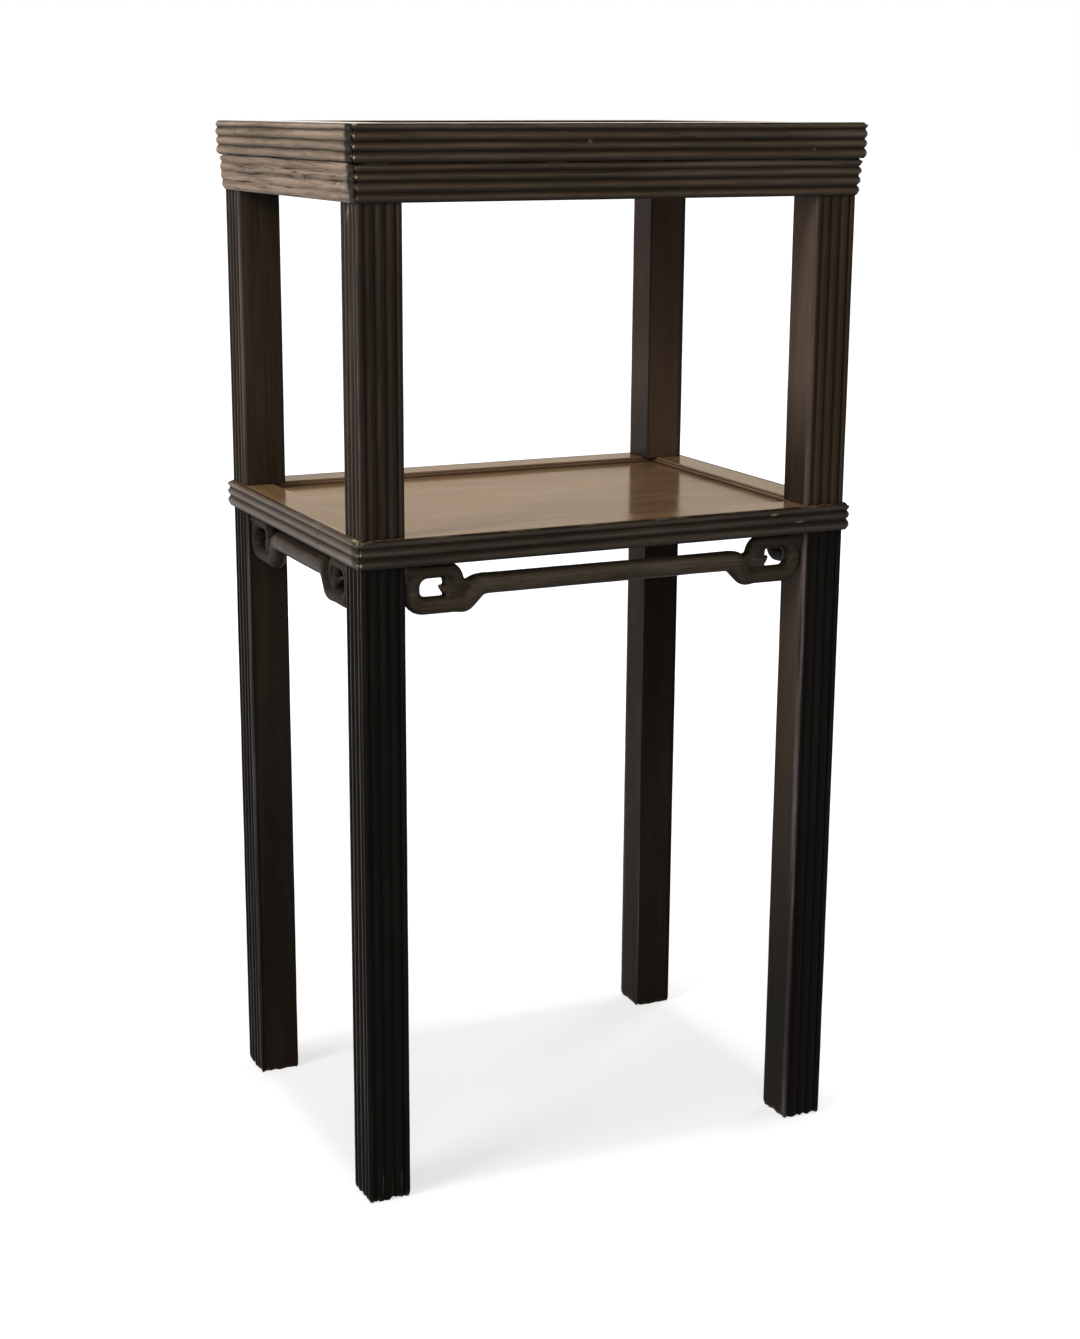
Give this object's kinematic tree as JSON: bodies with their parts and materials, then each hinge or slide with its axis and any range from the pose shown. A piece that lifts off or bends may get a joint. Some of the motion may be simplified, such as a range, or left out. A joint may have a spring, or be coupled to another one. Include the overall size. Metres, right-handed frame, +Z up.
{
  "type": "two-tier plant stand",
  "caption": "Tall two-tier wooden plant stand with a recessed top and shelf, reeded edges, square reeded posts and scroll-ended stretchers under the shelf.",
  "frame": {"origin": "centre of the rectangle of four feet, on the floor", "axes": "+X to the right along the long side, +Y to the back, +Z up"},
  "size_m": [0.411, 0.307, 0.8],
  "materials": {
    "upper_edge_wood": "dark stained hardwood, semi-gloss, worn pale at the arrises",
    "shelf_edge_wood": "dark stained hardwood, semi-gloss, worn pale at the arrises",
    "post_wood": "near-black stained hardwood, semi-gloss",
    "stretcher_wood": "dark stained hardwood, rubbed smooth",
    "panel_wood": "polished brown hardwood panel",
    "batten_wood": "unpolished hardwood"
  },
  "bodies": {
    "root": {"top_rail_front": "upper_edge_wood", "top_rail_right": "upper_edge_wood", "top_rail_back": "upper_edge_wood", "top_rail_left": "upper_edge_wood", "apron_front": "upper_edge_wood", "apron_right": "upper_edge_wood", "apron_back": "upper_edge_wood", "apron_left": "upper_edge_wood", "shelf_rail_front": "shelf_edge_wood", "shelf_rail_right": "shelf_edge_wood", "shelf_rail_back": "shelf_edge_wood", "shelf_rail_left": "shelf_edge_wood", "post_front_left": "post_wood", "post_front_right": "post_wood", "post_back_right": "post_wood", "post_back_left": "post_wood", "leg_front_left": "post_wood", "leg_front_right": "post_wood", "leg_back_right": "post_wood", "leg_back_left": "post_wood", "stretcher_front": "stretcher_wood", "stretcher_right": "stretcher_wood", "stretcher_back": "stretcher_wood", "stretcher_left": "stretcher_wood", "top_panel": "panel_wood", "shelf_panel": "panel_wood", "top_batten": "batten_wood", "shelf_batten": "batten_wood"}
  },
  "joints": []
}
